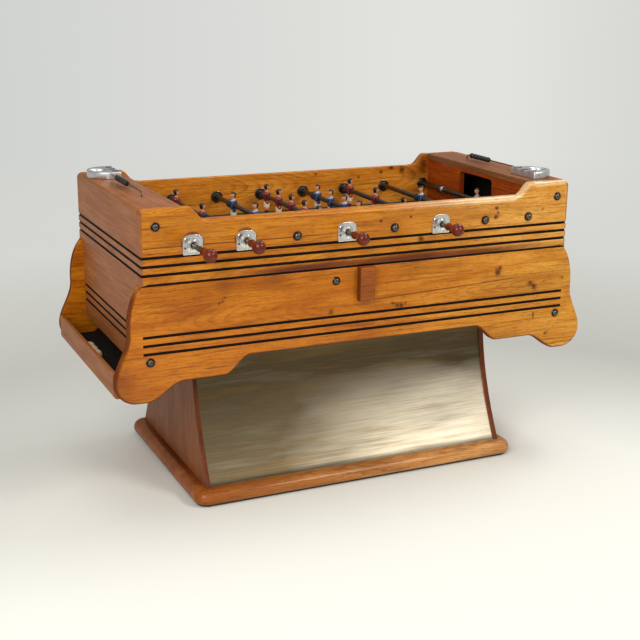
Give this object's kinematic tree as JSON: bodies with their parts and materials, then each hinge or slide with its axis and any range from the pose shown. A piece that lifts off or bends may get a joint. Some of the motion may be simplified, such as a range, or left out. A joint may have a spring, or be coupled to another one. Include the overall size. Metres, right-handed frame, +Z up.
{
  "type": "table football",
  "caption": "Free-standing oak table football: shaped play box with sliding, spinning rods of painted men, ball troughs at the ends, steel-clad pedestal on a bullnosed plinth.",
  "frame": {"origin": "on the floor under the middle of the plinth, which is the middle of the play box", "axes": "+X along the length to the right seen from the front, -Y to the front side with the cover block, +Z up"},
  "size_m": [1.588, 1.0646, 0.945],
  "materials": {
    "oak": "varnished honey oak, satin gloss",
    "dark_oak": "varnished oak in a browner tone, satin gloss",
    "green_field": "dark green playing surface, worn",
    "black_run": "black painted board, matt",
    "brushed_sheet": "brushed sheet with a warm patina",
    "dark_steel": "dark oxidised steel",
    "cast_aluminium": "cast aluminium, polished by use",
    "handle_wood": "reddish turned wood, glossy varnish",
    "red_team": "painted cast men on a dark steel tube",
    "blue_team": "painted cast men on a dark steel tube",
    "black_beads": "black, glossy"
  },
  "bodies": {
    "cabinet": {"play_box_front_side": "oak", "play_box_back_side": "oak", "play_box_left_end": "oak", "play_box_right_end": "oak", "front_apron": "oak", "back_apron": "oak", "lower_left_end": "oak", "lower_right_end": "oak", "front_cover_block": "oak", "left_end_shelf": "dark_oak", "right_end_shelf": "dark_oak", "left_goal_wall": "dark_oak", "right_goal_wall": "dark_oak", "left_trough_lip": "dark_oak", "right_trough_lip": "dark_oak", "pedestal_left_end": "dark_oak", "pedestal_right_end": "dark_oak", "plinth": "dark_oak", "playfield_board": "green_field", "ball_run_floor": "black_run", "pedestal_front_sheet": "brushed_sheet", "pedestal_back_sheet": "brushed_sheet", "left_ashtray": "cast_aluminium", "right_ashtray": "cast_aluminium", "left_score_wire": "dark_steel", "right_score_wire": "dark_steel", "rod_1_bearing": "cast_aluminium", "rod_2_bearing": "cast_aluminium", "rod_3_bearing": "cast_aluminium", "rod_4_bearing": "cast_aluminium", "rod_5_bearing": "cast_aluminium", "rod_6_bearing": "cast_aluminium", "rod_7_bearing": "cast_aluminium", "rod_8_bearing": "cast_aluminium"},
    "rod_1_guide_body": {"rod_1_guide": "dark_steel"},
    "rod_1_body": {"rod_1_tube_and_men": "red_team", "rod_1_handle": "handle_wood"},
    "rod_2_guide_body": {"rod_2_guide": "dark_steel"},
    "rod_2_body": {"rod_2_tube_and_men": "red_team", "rod_2_handle": "handle_wood"},
    "rod_3_guide_body": {"rod_3_guide": "dark_steel"},
    "rod_3_body": {"rod_3_tube_and_men": "blue_team", "rod_3_handle": "handle_wood"},
    "rod_4_guide_body": {"rod_4_guide": "dark_steel"},
    "rod_4_body": {"rod_4_tube_and_men": "red_team", "rod_4_handle": "handle_wood"},
    "rod_5_guide_body": {"rod_5_guide": "dark_steel"},
    "rod_5_body": {"rod_5_tube_and_men": "blue_team", "rod_5_handle": "handle_wood"},
    "rod_6_guide_body": {"rod_6_guide": "dark_steel"},
    "rod_6_body": {"rod_6_tube_and_men": "red_team", "rod_6_handle": "handle_wood"},
    "rod_7_guide_body": {"rod_7_guide": "dark_steel"},
    "rod_7_body": {"rod_7_tube_and_men": "blue_team", "rod_7_handle": "handle_wood"},
    "rod_8_guide_body": {"rod_8_guide": "dark_steel"},
    "rod_8_body": {"rod_8_tube_and_men": "blue_team", "rod_8_handle": "handle_wood"},
    "left_beads_body": {"left_score_beads": "black_beads"},
    "right_beads_body": {"right_score_beads": "black_beads"}
  },
  "joints": [
    {"name": "rod_1_spin", "type": "hinge", "parent": "cabinet", "child": "rod_1_guide_body", "pos_m": [-0.56, 0, 0.813], "axis": [0, 1, 0], "continuous": true},
    {"name": "rod_1_slide", "type": "slide", "parent": "rod_1_guide_body", "child": "rod_1_body", "axis": [0, 1, 0], "range_m": [-0.0742, 0.0537]},
    {"name": "rod_2_spin", "type": "hinge", "parent": "cabinet", "child": "rod_2_guide_body", "pos_m": [-0.4, 0, 0.813], "axis": [0, 1, 0], "continuous": true},
    {"name": "rod_2_slide", "type": "slide", "parent": "rod_2_guide_body", "child": "rod_2_body", "axis": [0, 1, 0], "range_m": [-0.299, 0.0046]},
    {"name": "rod_3_spin", "type": "hinge", "parent": "cabinet", "child": "rod_3_guide_body", "pos_m": [-0.24, 0, 0.813], "axis": [0, 1, 0], "continuous": true},
    {"name": "rod_3_slide", "type": "slide", "parent": "rod_3_guide_body", "child": "rod_3_body", "axis": [0, -1, 0], "range_m": [-0.116, 0.0559]},
    {"name": "rod_4_spin", "type": "hinge", "parent": "cabinet", "child": "rod_4_guide_body", "pos_m": [-0.08, 0, 0.813], "axis": [0, 1, 0], "continuous": true},
    {"name": "rod_4_slide", "type": "slide", "parent": "rod_4_guide_body", "child": "rod_4_body", "axis": [0, 1, 0], "range_m": [-0.1289, 0.0127]},
    {"name": "rod_5_spin", "type": "hinge", "parent": "cabinet", "child": "rod_5_guide_body", "pos_m": [0.08, 0, 0.813], "axis": [0, 1, 0], "continuous": true},
    {"name": "rod_5_slide", "type": "slide", "parent": "rod_5_guide_body", "child": "rod_5_body", "axis": [0, -1, 0], "range_m": [-0.0822, 0.0595]},
    {"name": "rod_6_spin", "type": "hinge", "parent": "cabinet", "child": "rod_6_guide_body", "pos_m": [0.24, 0, 0.813], "axis": [0, 1, 0], "continuous": true},
    {"name": "rod_6_slide", "type": "slide", "parent": "rod_6_guide_body", "child": "rod_6_body", "axis": [0, 1, 0], "range_m": [-0.1659, 0.006]},
    {"name": "rod_7_spin", "type": "hinge", "parent": "cabinet", "child": "rod_7_guide_body", "pos_m": [0.4, 0, 0.813], "axis": [0, 1, 0], "continuous": true},
    {"name": "rod_7_slide", "type": "slide", "parent": "rod_7_guide_body", "child": "rod_7_body", "axis": [0, -1, 0], "range_m": [-0.2352, 0.0683]},
    {"name": "rod_8_spin", "type": "hinge", "parent": "cabinet", "child": "rod_8_guide_body", "pos_m": [0.56, 0, 0.813], "axis": [0, 1, 0], "continuous": true},
    {"name": "rod_8_slide", "type": "slide", "parent": "rod_8_guide_body", "child": "rod_8_body", "axis": [0, -1, 0], "range_m": [-0.117, 0.0109]},
    {"name": "left_beads_slide", "type": "slide", "parent": "cabinet", "child": "left_beads_body", "axis": [0, 1, 0], "range_m": [-0.129, 0.056]},
    {"name": "right_beads_slide", "type": "slide", "parent": "cabinet", "child": "right_beads_body", "axis": [0, 1, 0], "range_m": [-0.177, 0.009]}
  ]
}
